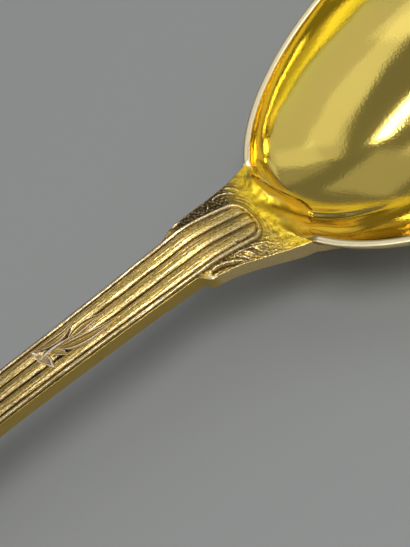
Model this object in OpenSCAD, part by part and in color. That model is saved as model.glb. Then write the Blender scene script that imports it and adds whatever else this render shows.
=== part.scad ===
// Serving spoon in gilt silver: a raised bowl, a handle with a reeded stem and
// notched shoulders, the solder that joins the two, and a small cast sprig.
// The spoon lies along X with its bowl towards +X, and rests on Z = 0.

/* [Overall] */
// Length from the tip of the bowl to the end of the handle
total_len = 242; // [200:1:295]

/* [Bowl] */
// Length of the bowl
bowl_len = 85; // [70:1:103]
// Width of the bowl over its rim
bowl_w = 51; // [42:1:62]
// Height of the rim above the table at its highest place
bowl_h = 20; // [16.5:0.5:24]
// Distance from the neck end of the bowl to its widest place
neck_run = 41; // [34:1:50]
// How far the rim sinks from its highest place to the shoulders
neck_sink = 3.5; // [2.5:0.1:4.2]
// Length over which the rim climbs from the shoulders to its highest place
climb_run = 42; // [35:1:51]
// How far the rim sinks towards the tip
tip_sink = 1.2; // [0:0.1:2]
// Thickness of the wall at the rim
rim_t = 1.1; // [0.8:0.1:1.5]
// Height of the rounding on top of the rim
rim_round = 0.25; // [0.1:0.05:0.4]
// Thickness of the metal at the bottom
floor_t = 1.3; // [1:0.1:1.8]
// Angle of the section's arc at the sides, in degrees
side_steep = 57; // [50:1:66]
// Angle of the section's arc at the tip and the neck, in degrees
end_steep = 43; // [37:1:50]
// Fullness of the wall's section: 1 is a plain arc, less is fuller under the rim
wall_power = 0.72; // [0.66:0.02:1]
// Depth by which the bottom is flattened for the bowl to rest on
rest_cut = 0.6; // [0.5:0.1:0.8]
// Length by which the wall is cut back at the neck to take the solder
mouth_cut = 4.8; // [4:0.1:5.8]

/* [Stem and end] */
// Width of the stem at its waist
stem_w = 7.3; // [6:0.1:8.4]
// Width of the stem where the shoulders begin
neck_w = 8.6; // [8.4:0.1:10.4]
// Distance from the shoulders to the waist
waist_run = 39; // [32:1:47]
// Height of the side band of the stem
stem_side = 2.5; // [2.1:0.1:3]
// Length of stem over which the side band deepens towards the shoulders
deepen_run = 12; // [10:1:14]
// Height of the stem above the rim at the shoulders
stem_rise = 3.6; // [3:0.1:4.4]
// Length of stem that lies level behind the shoulders
level_run = 29; // [24:1:35]
// Width of the handle's end
end_w = 21; // [17:0.5:25]
// Length of the rounded part of the end
end_round = 20; // [16:1:24]
// Length over which the stem widens into the end
flare_run = 74; // [61:1:84]
// Height of the side band of the end
end_side = 1.6; // [1.3:0.1:2]
// How far the back swells below the side band
back_swell = 0.6; // [0.3:0.1:0.8]

/* [Shoulders and heel] */
// Length of the shoulders, from the notch to the seam at the rim
shoulder_len = 15.2; // [12.6:0.2:18.4]
// Width over the two notched tips
shoulder_w = 11.2; // [10.8:0.1:13.4]
// How the shoulders' outline grows: 1 is straight, more is hollow
shoulder_power = 1.5; // [1.2:0.1:2]
// How far the shoulders' edges fall below the panel at the notch
shoulder_fall = 0.5; // [0.4:0.1:0.6]
// Width of the shoulders at the seam with the rim
seam_w = 18; // [15:0.5:21.5]
// Length of the notch's slope
notch_slope = 1.3; // [0.6:0.1:1.6]
// Height of the side band at the seam
seam_side = 3.4; // [2.9:0.1:4]
// How far the shoulders' ends lie under the rim
seam_tuck = 0.7; // [0.4:0.1:1]
// Length of the heel under the bowl
heel_len = 14; // [11.5:0.5:17]
// Thickness of the heel at the seam
heel_t = 2; // [1.6:0.1:2.4]
// Thickness of the heel at its end
heel_end_t = 0.35; // [0.3:0.05:0.5]
// How far the back swells under the shoulders
shoulder_swell = 2.2; // [1.8:0.1:2.6]

/* [Reeds] */
// Width of the thread along each edge
thread_w = 0.7; // [0.6:0.05:0.85]
// Height of the thread
thread_h = 0.4; // [0.3:0.05:0.5]
// Height of the three reeds
reed_h = 0.5; // [0.4:0.05:0.6]
// Width of the panel of reeds at the foot of its arch
panel_w = 7.6; // [6.8:0.1:8.2]
// Length of the arch that ends the panel on the shoulders
arch_len = 2.6; // [2.1:0.1:3.2]
// Squareness of the arch: 2 is an ellipse
arch_power = 2.6; // [2:0.1:3]
// Distance from the crown of the arch to the seam
arch_gap = 4.8; // [4.4:0.1:5.6]
// Length by which the reeds run into the handle's end
reed_reach = 28; // [23:1:34]
// Length of the arch that ends the reeds there
reed_arch = 7; // [6:0.5:8.5]
// Width of the edge outside the threads
edge_w = 0.24; // [0.2:0.02:0.3]

/* [Sprig] */
// Distance from the notch to the calyx of the sprig
sprig_gap = 25.2; // [21:0.2:27]
// Height of the leaves above the reeds
leaf_h = 0.55; // [0.45:0.05:0.65]
// Width of the widest leaf
leaf_w = 1.7; // [1.4:0.1:2]

/* [Seating] */
// Gap between the bowl, the handle and the solder where they meet
joint_gap = 0.05; // [0.03:0.01:0.08]
// Gap round the bowl's edge where it sits in the handle
seat_clear = 0.2; // [0.1:0.05:0.3]
// Gap between the sprig and the crests of the reeds
sprig_seat = 0.02; // [0.02:0.01:0.05]

/* [Hidden] */

// Angles round the bowl, rings from its bottom to the rim, rings over the rim
bowl_sides = 64;
bowl_rings = 9;
rim_steps = 4;
// Bunching of the angles towards the neck, in degrees
neck_bunching = 30;

tip_x = total_len / 2;
end_x = -total_len / 2;
bowl_x0 = tip_x - bowl_len;
widest_x = bowl_x0 + neck_run;
tip_run = bowl_len - neck_run;
mouth_half = asin(seam_w / bowl_w);
seam_x = widest_x - neck_run * cos(mouth_half) + seam_tuck;
seam_z = bowl_h - neck_sink;
notch_x = seam_x - shoulder_len;
stem_z = seam_z + stem_rise;
level_x = notch_x - level_run;
waist_x = notch_x - waist_run;
wide_x = end_x + end_round;
flare_x = wide_x + flare_run;
reed_end_x = flare_x - reed_reach;
crown_x = seam_x - arch_gap;
arch_x = crown_x - arch_len;
heel_end_x = seam_x + heel_len;
seat_share = 2 * seat_clear / bowl_w;
// Half the width of the last sliver at each end of the handle
blunt_half = 1.5;
// Share of the wall's cut that the solder reaches round, and its least thickness
solder_share = 0.7;
solder_min = 0.15;

function mix(a, b, t) = a + (b - a) * t;
function limit(t) = min(1, max(0, t));
function smooth(t) = let (c = limit(t)) c * c * (3 - 2 * c);
// Height of a half-round moulding of unit height across -1 to 1
function half_round(t) = sqrt(max(0, 1 - t * t));

// Bowl: an egg in plan, an arc in section. a is the angle round the bowl and
// s the way out from its middle, 1 at the rim.
function rim_z(x) =
    bowl_h
    - neck_sink * (1 - smooth((x - seam_x) / climb_run))
    - tip_sink * pow(limit((x - widest_x) / tip_run), 2);
function arc_angle(a) = mix(end_steep, side_steep, pow(sin(a), 2));
function sag(a, s) =
    let (m = arc_angle(a), arc = (cos(asin(s * sin(m))) - cos(m)) / (1 - cos(m)))
    pow(limit(arc), wall_power);
function plan(a, s, inset) = [
    widest_x + s * cos(a) * ((cos(a) < 0 ? neck_run : tip_run) - inset),
    s * sin(a) * (bowl_w / 2 - inset)
];
function outer_point(a, s) =
    let (p = plan(a, s, 0), z = rim_z(plan(a, 1, 0).x))
    [p.x, p.y, max(0, z - (z + rest_cut) * sag(a, s))];
function inner_point(a, s) =
    let (p = plan(a, s, rim_t), z = rim_z(plan(a, 1, 0).x))
    [p.x, p.y, z - (z - floor_t) * sag(a, s)];

// The same egg read from a place on the plan
function egg(x, y) = [(x - widest_x) / (x < widest_x ? neck_run : tip_run), 2 * y / bowl_w];
function under_bowl(e) = norm(e) >= 1 ? seam_z : outer_point(atan2(e.y, e.x), norm(e)).z;

// The wall is cut back in a shallow mouth between the shoulders
function mouth(a) =
    let (d = abs(a - 180) / mouth_half)
    d < 1 ? pow(cos(90 * d), 2) : 0;
function rim_s(a) = 1 - mouth_cut / neck_run * mouth(a);

// Faces between closed rings that have the same number of points
function skin_faces(rings, sides) = [
    for (i = [0 : rings - 2], j = [0 : sides - 1])
        let (k = (j + 1) % sides, low = i * sides, high = low + sides)
        each [[low + j, low + k, high + k], [low + j, high + k, high + j]]
];
function flat(rings) = [for (ring = rings) each ring];
function forward(first, count) = [for (j = [0 : count - 1]) first + j];
function backward(first, count) = [for (j = [count - 1 : -1 : 0]) first + j];

// A closed skin over rings, with a flat face at each end
module skin(rings) {
    sides = len(rings[0]);
    last = (len(rings) - 1) * sides;
    polyhedron(
        flat(rings),
        concat([backward(0, sides)], skin_faces(len(rings), sides), [forward(last, sides)])
    );
}

module bowl() {
    angles = [
        for (i = [0 : bowl_sides - 1])
            let (t = 360 - 360 * i / bowl_sides)
            t + neck_bunching * sin(t)
    ];
    reach = [for (k = [1 : bowl_rings]) sin(90 * k / bowl_rings)];
    outside = [for (f = reach) [for (a = angles) outer_point(a, f * rim_s(a))]];
    over_rim = [
        for (k = [1 : rim_steps - 1])
            let (t = k / rim_steps)
            [
                for (a = angles)
                    mix(outer_point(a, rim_s(a)), inner_point(a, rim_s(a)), t)
                    + [0, 0, rim_round * half_round(2 * t - 1)]
            ]
    ];
    inside = [
        for (k = [bowl_rings : -1 : 1])
            [for (a = angles) inner_point(a, reach[k - 1] * rim_s(a))]
    ];
    rings = concat(outside, over_rim, inside);
    last = (len(rings) - 1) * bowl_sides;
    middle = len(rings) * bowl_sides;
    fan = [for (j = [0 : bowl_sides - 1]) [last + j, last + (j + 1) % bowl_sides, middle]];
    color("goldenrod")
        polyhedron(
            concat(flat(rings), [inner_point(0, 0)]),
            concat([backward(0, bowl_sides)], skin_faces(len(rings), bowl_sides), fan)
        );
}

// Handle: half its width at x, from the rounded end to the tip of the heel
function stem_half(x) =
    stem_w / 2 + (neck_w - stem_w) / 2 * pow(max(0, (x - waist_x) / waist_run), 2);
function end_half(x) =
    x < wide_x
        ? max(blunt_half, end_w / 2 * half_round((wide_x - x) / end_round))
        : mix(end_w, stem_w, smooth((x - wide_x) / flare_run)) / 2;
function shoulder_half(x) =
    mix(shoulder_w, seam_w, pow((x - notch_x) / shoulder_len, shoulder_power)) / 2;
function heel_half(x) = max(blunt_half, seam_w / 2 * half_round((x - seam_x) / heel_len));
function handle_half(x) =
    x < wide_x ? end_half(x)
    : x < notch_x ? max(stem_half(x), end_half(x))
    : x < seam_x ? shoulder_half(x)
    : heel_half(x);

// Heights along the middle of the handle
function along(x) = smooth((x - end_x) / (level_x - end_x));
function side_band(x) =
    mix(
        mix(end_side, stem_side, along(x)),
        seam_side,
        smooth((x - notch_x + deepen_run) / (shoulder_len + deepen_run))
    );
function swell(x) = mix(back_swell, shoulder_swell, smooth((x - notch_x) / shoulder_len));
function top_z(x) =
    x < notch_x
        ? along(x) * (stem_z - stem_side - back_swell) + mix(end_side, stem_side, along(x)) + back_swell
        : stem_z - stem_rise * smooth((x - notch_x) / shoulder_len);

// Panel of three reeds between two threads
function panel_half(x) =
    x < notch_x
        ? handle_half(x) - edge_w
        : mix(neck_w - 2 * edge_w, panel_w, limit((x - notch_x) / (arch_x - notch_x))) / 2;
function arch_way(ahead, side) = pow(pow(ahead, arch_power) + pow(side, arch_power), 1 / arch_power);
// Way out from the middle of the panel, rounding its arch and the handle's end
function panel_way(x, y) =
    x < wide_x
        ? norm([(wide_x - x) / end_round, y / (end_w / 2 - edge_w)]) * (end_w / 2 - edge_w)
        : arch_way(max(0, (x - arch_x) / arch_len) * panel_w / 2, abs(y));
function reeds(y, half) =
    let (pitch = 2 * half / 3, d = abs(y) - pitch * round(abs(y) / pitch))
    abs(y) < half ? reed_h * half_round(2 * d / pitch) : 0;
function relief(x, y) =
    let (
        half = x < wide_x ? end_w / 2 - edge_w : panel_half(x),
        inside = half - thread_w,
        way = panel_way(x, y),
        far = norm([max(0, (reed_end_x - x) / reed_arch), y / inside]),
        near_arch = x > arch_x ? smooth((inside - way) / thread_w) : 1,
        near_end = x < reed_end_x ? smooth((1 - far) * reed_arch / thread_w) : 1
    )
    way > half ? 0
    : way > inside ? thread_h * half_round(2 * (half - way) / thread_w - 1)
    : reeds(y, inside) * near_arch * near_end;

// Fall of the shoulders beside the panel, most at the notch and none at the seam
function field_fall(x, y) =
    x < notch_x || x > seam_x ? 0
    : shoulder_fall * (1 - (x - notch_x) / shoulder_len)
        * smooth((abs(y) - panel_half(x)) / (shoulder_half(x) - panel_half(x)));

// The handle's top, hollowed where the bowl sits on it
function handle_top(x, y) =
    let (top = top_z(x) + relief(x, y) - field_fall(x, y), e = egg(x, y) * (1 - seat_share))
    norm(e) < 1 ? min(top, under_bowl(e) - joint_gap) : top;
function handle_back(x, y, half) =
    let (
        across = y / half,
        back = top_z(x) - side_band(x) - swell(x) * (1 - across * across),
        heel = under_bowl(egg(x, y)) - joint_gap - mix(heel_t, heel_end_t, limit((x - seam_x) / heel_len))
    )
    mix(back, heel, smooth((x - bowl_x0) / (2 * (seam_x - bowl_x0))));

// Places across the handle, as [part of the way, which stretch of the half width]
reed_places = [0, 0.35, 0.65, 0.85, 1, 1.15, 1.35, 1.65, 2, 2.35, 2.65, 2.85];
thread_places = [0, 0.2, 0.5, 0.8, 1];
field_places = [0.35, 0.7, 1];
back_places = [1, 0.8, 0.5, 0.2, 0, -0.2, -0.5, -0.8, -1];

function half_places(x) =
    let (
        half = handle_half(x),
        panel = min(panel_half(x), half - edge_w),
        thread = min(thread_w, panel / 3),
        inside = panel - thread
    )
    concat(
        [for (p = reed_places) p / 3 * inside],
        [for (p = thread_places) inside + p * thread],
        [for (p = field_places) mix(panel, half, p)]
    );
function handle_ring(x) =
    let (half = handle_half(x), places = half_places(x), n = len(places))
    concat(
        [for (i = [n - 1 : -1 : 1]) [x, -places[i], handle_top(x, -places[i])]],
        [for (i = [0 : n - 1]) [x, places[i], handle_top(x, places[i])]],
        [for (p = back_places) [x, p * half, handle_back(x, p * half, half)]]
    );

// Stations along the handle, close together where the outline or the relief turns
function spread(from, to, count) = [for (i = [0 : count - 1]) mix(from, to, i / count)];
end_stations = [for (a = [0 : 11 : 77]) wide_x - end_round * cos(a)];
heel_stations = [for (a = [0 : 10 : 80]) seam_x + heel_len * sin(a)];
stations = concat(
    end_stations,
    spread(wide_x, reed_end_x - reed_arch, 9),
    spread(reed_end_x - reed_arch, reed_end_x, 9),
    spread(reed_end_x, notch_x - notch_slope, 10),
    [notch_x - notch_slope],
    spread(notch_x, arch_x, 7),
    spread(arch_x, crown_x, 10),
    spread(crown_x, seam_x, 18),
    heel_stations,
    [heel_end_x]
);

module handle() {
    color("darkgoldenrod") skin([for (x = stations) handle_ring(x)]);
}

// Solder: fills the mouth of the bowl, flush with the shoulders and the wall
module solder_seam() {
    sides = 14;
    steps = 5;
    span = mouth_half * solder_share;
    gap_s = 3 * joint_gap / neck_run;
    function seam_point(a, q) = outer_point(a, mix(rim_s(a) + gap_s, 1 - seat_share, q));
    function cover(a, q) =
        let (
            p = seam_point(a, q),
            wall = inner_point(a, rim_s(a)).z - outer_point(a, rim_s(a)).z + rim_t,
            lip = max(solder_min, top_z(p.x) - p.z)
        )
        p + [0, 0, mix(wall, lip, smooth(q))];
    color("gold")
        skin([
            for (i = [0 : sides])
                let (a = 180 + span - 2 * span * i / sides)
                concat(
                    [for (k = [0 : steps]) cover(a, k / steps)],
                    [for (k = [steps : -1 : 0]) seam_point(a, k / steps)]
                )
        ]);
}

// Sprig: leaves laid over the reeds, each along a bent midrib
function bend(p, t) = (1 - t) * (1 - t) * p[0] + 2 * t * (1 - t) * p[1] + t * t * p[2];
function bend_side(p, t) =
    let (d = (1 - t) * (p[1] - p[0]) + t * (p[2] - p[1]), n = norm(d))
    [-d.y / n, d.x / n];
function crest_z(x) = top_z(x) + reed_h + sprig_seat;

module leaf(midrib, width, height) {
    steps = 10;
    // Half section of a leaf: place across, height
    section = [[-1, 0.3], [-0.55, 0.8], [0, 1], [0.55, 0.8], [1, 0.3]];
    skin([
        for (i = [0 : steps])
            let (
                t = i / steps,
                m = bend(midrib, t),
                side = bend_side(midrib, t),
                half = width / 2 * mix(0.12, 1, sin(180 * pow(t, 0.8))),
                rise = height * mix(0.45, 1, sin(180 * t)),
                z = crest_z(sprig_x)
            )
            concat(
                [for (q = section) [each m + side * q[0] * half, z + rise * q[1]]],
                [[each m + side * half, z], [each m - side * half, z]]
            )
    ]);
}

sprig_x = notch_x - sprig_gap;
// Midribs from the calyx towards the bowl: start, bend and end of each
long_leaf = [[4.8, 0.1], [7.2, 0.7], [10.7, 0.1]];
right_leaf = [[2.9, 0], [6.2, -1.9], [12.1, -1.7]];
left_leaf = [[2.2, 0.6], [4.6, 0.9], [6.6, 2.1]];
stalk = [[-0.4, 0.1], [1.6, 0.5], [5.6, 0.2]];
calyx = [[-0.7, 2.5], [0.3, 0.2], [1.4, -2.4]];

module sprig() {
    color("khaki")
        translate([sprig_x, 0, 0])
            union() {
                leaf(long_leaf, leaf_w, leaf_h);
                leaf(right_leaf, leaf_w * 0.8, leaf_h * 0.85);
                leaf(left_leaf, leaf_w * 0.75, leaf_h * 0.8);
                leaf(stalk, leaf_w * 0.6, leaf_h * 0.9);
                leaf(calyx, leaf_w * 0.9, leaf_h * 0.95);
            }
}

bowl();
handle();
solder_seam();
sprig();
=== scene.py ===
# Serving spoon in gilt silver: raised bowl, struck handle, solder seam and a cast leaf sprig.
# Sizes are in millimetres along the spoon (bowl towards +X), and meshes are written in metres.
import math

import bpy
import numpy as np
from mathutils import Matrix, Quaternion, Vector


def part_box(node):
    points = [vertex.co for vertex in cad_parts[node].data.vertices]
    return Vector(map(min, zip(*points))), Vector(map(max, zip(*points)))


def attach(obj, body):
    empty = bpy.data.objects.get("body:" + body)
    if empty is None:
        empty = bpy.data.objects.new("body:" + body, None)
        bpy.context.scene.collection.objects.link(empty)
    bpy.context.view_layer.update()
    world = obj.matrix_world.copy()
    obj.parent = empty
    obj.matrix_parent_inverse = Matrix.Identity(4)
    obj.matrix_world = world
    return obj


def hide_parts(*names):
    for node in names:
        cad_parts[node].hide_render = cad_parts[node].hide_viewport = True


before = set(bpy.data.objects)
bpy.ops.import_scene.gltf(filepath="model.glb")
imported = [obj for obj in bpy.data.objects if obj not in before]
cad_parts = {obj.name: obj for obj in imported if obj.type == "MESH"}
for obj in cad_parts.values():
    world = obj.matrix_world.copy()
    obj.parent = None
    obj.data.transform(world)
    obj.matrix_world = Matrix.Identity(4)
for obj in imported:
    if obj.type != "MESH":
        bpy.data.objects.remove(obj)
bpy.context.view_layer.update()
bpy.ops.object.select_all(action="DESELECT")
mm = 0.001
bowlLow, bowlHigh = [np.array(corner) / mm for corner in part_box("bowl")]
handleLow = np.array(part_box("handle")[0]) / mm
print("frame loaded, spoon length", round(bowlHigh[0] - handleLow[0], 1), "mm")


# small helpers for shapes
def mix(a, b, t):
    return a + (b - a) * t


def smooth(t):
    c = np.clip(t, 0, 1)
    return c * c * (3 - 2 * c)


def halfRound(t):
    return np.sqrt(np.maximum(0, 1 - t * t))


def grain(x, y, size, seed):
    # smooth noise from -1 to 1 in cells of the given size
    gx, gy = np.asarray(x) / size, np.asarray(y) / size
    ix, iy = np.floor(gx), np.floor(gy)

    def corner(i, j):
        h = np.sin((ix + i) * 127.1 + (iy + j) * 311.7 + seed * 74.7) * 43758.5453
        return 2 * (h - np.floor(h)) - 1

    wx, wy = smooth(gx - ix), smooth(gy - iy)
    return mix(mix(corner(0, 0), corner(1, 0), wx), mix(corner(0, 1), corner(1, 1), wx), wy)


def wayTo(x, y, points):
    # distance of every place from a bent line, and the part of the line that is nearest
    away, part = np.full(np.shape(x), 1e6), np.zeros(np.shape(x))
    points = np.array(points, dtype=float)
    for k in range(len(points) - 1):
        p, d = points[k], points[k + 1] - points[k]
        t = np.clip(((x - p[0]) * d[0] + (y - p[1]) * d[1]) / (d @ d), 0, 1)
        off = np.hypot(x - p[0] - t * d[0], y - p[1] - t * d[1])
        part = np.where(off < away, (k + t) / (len(points) - 1), part)
        away = np.minimum(away, off)
    return away, part


def bent(start, bend, end, t):
    # places along a bent line, at the shares t of its way
    t = t[:, None]
    return (1 - t) ** 2 * np.array(start) + 2 * t * (1 - t) * np.array(bend) + t ** 2 * np.array(end)


def addSphere(name, segments, rings):
    # a unit sphere to draw out, with the angle round it and the rise of every vertex
    bpy.ops.object.select_all(action="DESELECT")
    bpy.ops.mesh.primitive_uv_sphere_add(segments=segments, ring_count=rings, radius=1)
    piece = bpy.context.object
    piece.name = name
    co = np.zeros(len(piece.data.vertices) * 3)
    piece.data.vertices.foreach_get("co", co)
    co = co.reshape(-1, 3)
    turn = np.arctan2(co[:, 1], co[:, 0]) % (2 * math.pi)
    rise = np.arcsin(np.clip(co[:, 2], -1, 1))
    return piece, turn, rise


def addTube(name, segments, rings):
    # the same sphere to draw out along a line: its ends, and the ring and the place round it of every vertex
    piece, turn, rise = addSphere(name, segments, rings)
    place = np.rint(turn / (2 * math.pi) * segments).astype(int) % segments
    ring = np.rint((0.5 - rise / math.pi) * rings).astype(int)
    return piece, (ring == 0) | (ring == rings), ring, place


def setPoints(piece, x, y, z):
    # places the vertices, turns the faces outwards and shades them smooth
    points = np.stack(np.broadcast_arrays(x, y, z), axis=-1).reshape(-1, 3) * mm
    piece.data.vertices.foreach_set("co", points.ravel())
    piece.data.update()
    bpy.ops.object.mode_set(mode="EDIT")
    bpy.ops.mesh.select_all(action="SELECT")
    bpy.ops.mesh.normals_make_consistent(inside=False)
    bpy.ops.object.mode_set(mode="OBJECT")
    bpy.ops.object.shade_smooth()


def paint(piece, name, values):
    # a value for each vertex, which the piece's material reads
    layer = piece.data.attributes.new(name, "FLOAT", "POINT")
    layer.data.foreach_set("value", np.clip(values, 0, 1).astype(np.float32).ravel())


def settle(piece, material, node):
    piece.data.materials.clear()
    piece.data.materials.append(material)
    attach(piece, "root")
    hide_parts(node)
    print(piece.name, "done,", len(piece.data.polygons), "faces")


# materials
def toLinear(hexColour):
    parts = [int(hexColour[i:i + 2], 16) / 255 for i in (1, 3, 5)]
    return tuple(c / 12.92 if c <= 0.04045 else ((c + 0.055) / 1.055) ** 2.4 for c in parts) + (1.0,)


def addNode(tree, kind, settings=None, links=None):
    # settings go to the node's own options or to its sockets, links come from other sockets
    node = tree.nodes.new(kind)
    for key, value in (settings or {}).items():
        if isinstance(key, str) and hasattr(node, key):
            setattr(node, key, value)
        else:
            node.inputs[key].default_value = value
    for key, source in (links or {}).items():
        tree.links.new(source, node.inputs[key])
    return node


def newMaterial(name):
    material = bpy.data.materials.new(name)
    material.use_nodes = True
    tree = material.node_tree
    shader = tree.nodes["Principled BSDF"]
    shader.inputs["Metallic"].default_value = 1.0
    return material, tree, shader


def makeGilt(name, look):
    # gilt silver: warm yellow metal, paler on worn crests and where a sheen is painted, a richer yellow on
    # the melt and the bowl's walls that is a painted reflection of gold light, dark in the recesses with
    # grime and painted shade, with a grain that breaks up its reflections, drawn coarser than the real one so
    # that it shows
    material, tree, shader = newMaterial(name)
    place = addNode(tree, "ShaderNodeTexCoord")
    wearAndSheen = addNode(tree, "ShaderNodeAttribute", {"attribute_name": "wearAndSheen"})
    patinaAndShade = addNode(tree, "ShaderNodeAttribute", {"attribute_name": "patinaAndShade"})
    meltAndReflection = addNode(tree, "ShaderNodeAttribute", {"attribute_name": "meltAndReflection"})
    sand = addNode(tree, "ShaderNodeAttribute", {"attribute_name": "sand"})
    cloud = addNode(tree, "ShaderNodeTexNoise", {"Scale": 1 / (look["cloudSize"] * mm), "Detail": 4.0},
                    {"Vector": place.outputs["Object"]})
    # a Mix node's sockets: 0 is the factor, 2 and 3 take values, 6 and 7 take colours
    tone = addNode(tree, "ShaderNodeMix", {"data_type": "RGBA", 6: toLinear(look["gold"]),
                                           7: toLinear(look["goldLow"])},
                   {0: cloud.outputs["Fac"]})
    # a richer yellow on the melt and the bowl's walls: a painted reflection of gold light
    reflectedYellow = addNode(tree, "ShaderNodeMix", {"data_type": "RGBA", 7: toLinear(look["reflectedYellow"])},
                   {0: meltAndReflection.outputs["Fac"], 6: tone.outputs[2]})
    # darker with patina in the recesses and with painted shade
    grimyAndShaded = addNode(tree, "ShaderNodeMix", {"data_type": "RGBA", 7: toLinear(look["dark"])},
                    {0: patinaAndShade.outputs["Fac"], 6: reflectedYellow.outputs[2]})
    stretch = addNode(tree, "ShaderNodeMapping", {"Scale": (look["drawn"], 1.0, 1.0)},
                      {"Vector": place.outputs["Object"]})
    fine = addNode(tree, "ShaderNodeTexNoise", {"Scale": 1 / (look["grainSize"] * mm), "Detail": 3.0},
                   {"Vector": stretch.outputs["Vector"]})
    pits = addNode(tree, "ShaderNodeMapRange", {"From Min": 0.42, "From Max": 0.62,
                                                "To Min": look["specks"], "To Max": 0.0},
                   {"Value": fine.outputs["Fac"]})
    specks = addNode(tree, "ShaderNodeMath", {"operation": "MULTIPLY"},
                     {0: pits.outputs["Result"], 1: sand.outputs["Fac"]})
    speckled = addNode(tree, "ShaderNodeMix", {"data_type": "RGBA", 7: toLinear(look["dark"])},
                       {0: specks.outputs["Value"], 6: grimyAndShaded.outputs[2]})
    patches = addNode(tree, "ShaderNodeMapRange", {"From Min": 0.38, "From Max": 0.58,
                                                   "To Min": look["patchy"], "To Max": 1.0},
                      {"Value": fine.outputs["Fac"]})
    # paler where worn, and where a sheen is painted
    rub = addNode(tree, "ShaderNodeMath", {"operation": "MULTIPLY"},
                  {0: wearAndSheen.outputs["Fac"], 1: patches.outputs["Result"]})
    worn = addNode(tree, "ShaderNodeMix", {"data_type": "RGBA", 7: toLinear(look["worn"])},
                   {0: rub.outputs["Value"], 6: speckled.outputs[2]})
    tree.links.new(worn.outputs[2], shader.inputs["Base Color"])
    rough = addNode(tree, "ShaderNodeMapRange", {"To Min": look["roughLow"], "To Max": look["roughHigh"]},
                    {"Value": cloud.outputs["Fac"]})
    melted = addNode(tree, "ShaderNodeMix", {3: look["richRough"]},
                     {0: meltAndReflection.outputs["Fac"], 2: rough.outputs["Result"]})
    rubbed = addNode(tree, "ShaderNodeMix", {3: look["wornRough"]},
                     {0: rub.outputs["Value"], 2: melted.outputs[0]})
    tree.links.new(rubbed.outputs[0], shader.inputs["Roughness"])
    bump = addNode(tree, "ShaderNodeBump", {"Strength": look["bump"], "Distance": look["grainDepth"] * mm},
                   {"Height": fine.outputs["Fac"]})
    tree.links.new(bump.outputs["Normal"], shader.inputs["Normal"])
    return material


# sizes of the clouds and grain are in mm
# raised sheet, gilt and burnished: a soft mirror, rubbed through to pale silver on the rim
polishedGilt = makeGilt("polishedGilt", {
    "gold": "#F6DC74", "goldLow": "#EFD46C", "reflectedYellow": "#F7E46E", "worn": "#E6DABD", "dark": "#6B4A12",
    "cloudSize": 14, "roughLow": 0.06, "roughHigh": 0.1, "richRough": 0.08, "wornRough": 0.42, "patchy": 1.0,
    "drawn": 1.0, "grainSize": 0.4, "grainDepth": 0.03, "bump": 0.34, "specks": 0.0})
# struck silver, gilt: satin and sandy, with bright crests and brown grooves
struckGilt = makeGilt("struckGilt", {
    "gold": "#F3D470", "goldLow": "#E2BA56", "reflectedYellow": "#F7D239", "worn": "#F1E0BC", "dark": "#33220A",
    "cloudSize": 3, "roughLow": 0.3, "roughHigh": 0.4, "richRough": 0.46, "wornRough": 0.32, "patchy": 0.3,
    "drawn": 0.4, "grainSize": 0.14, "grainDepth": 0.05, "bump": 0.8, "specks": 0.6})
# silver solder, gilt over: a soft mirror that turns to satin where it was melted, painted a rich yellow there
# as a painted reflection of the bowl's gold
gildedSolder = makeGilt("gildedSolder", {
    "gold": "#F6DC74", "goldLow": "#F1D66A", "reflectedYellow": "#F7D239", "worn": "#F6E7A8", "dark": "#5A3A0C",
    "cloudSize": 4, "roughLow": 0.08, "roughHigh": 0.14, "richRough": 0.46, "wornRough": 0.26, "patchy": 0.6,
    "drawn": 1.0, "grainSize": 0.35, "grainDepth": 0.03, "bump": 0.35, "specks": 0.0})
# cast silver, gilt and handled: dull gold in the hollows and bare silver on the edges
castGilt = makeGilt("castGilt", {
    "gold": "#E6C878", "goldLow": "#D2AC5C", "reflectedYellow": "#D2AC5C", "worn": "#F7EEDC", "dark": "#2E1F0A",
    "cloudSize": 1.5, "roughLow": 0.28, "roughHigh": 0.42, "richRough": 0.35, "wornRough": 0.5, "patchy": 0.5,
    "drawn": 1.0, "grainSize": 0.22, "grainDepth": 0.05, "bump": 0.6, "specks": 0.3})

# bowl: an egg in plan and an arc in section, pressed out of one sphere
bowl = {
    "segments": 260, "rings": 180,
    "length": 85, "neckRun": 41,          # neckRun reaches from the neck to the widest place
    "neckSink": 3.5, "climbRun": 42, "tipSink": 1.2,
    "rimWall": 1.1, "rimRound": 0.25, "floorWall": 1.3,
    "sideSteep": 57, "endSteep": 43, "wallPower": 0.72, "restCut": 0.6,
    "mouthCut": 4.8, "seamWidth": 18, "seamTuck": 0.7,
    "neckBunching": 30, "rimShare": 9,    # degrees of the sphere that go over the rim, each side
    "wave": 0.08, "waveSize": 9,          # the hammer's marks, in the bottom and in the wall
    "dent": 0.03, "dentSize": 3.2,
    "rimWear": 0.8,
    "richDepth": 0.14, "richFade": 0.08,  # how far down the walls the painted reflection of their gold in each other reaches
    "richStart": 6, "richRun": 8,         # and how far from the seam that starts
}
tipX = bowlHigh[0]
bowlWidth = bowlHigh[1] - bowlLow[1]
rimHeight = bowlHigh[2] - bowl["rimRound"]
tipRun = bowl["length"] - bowl["neckRun"]
widestX = tipX - tipRun
neckX = tipX - bowl["length"]
mouthHalf = math.asin(bowl["seamWidth"] / bowlWidth)
seamX = widestX - bowl["neckRun"] * math.cos(mouthHalf) + bowl["seamTuck"]
seamZ = rimHeight - bowl["neckSink"]


def rimZ(x):
    climb = smooth((x - seamX) / bowl["climbRun"])
    dip = np.clip((x - widestX) / tipRun, 0, 1) ** 2
    return rimHeight - bowl["neckSink"] * (1 - climb) - bowl["tipSink"] * dip


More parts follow.
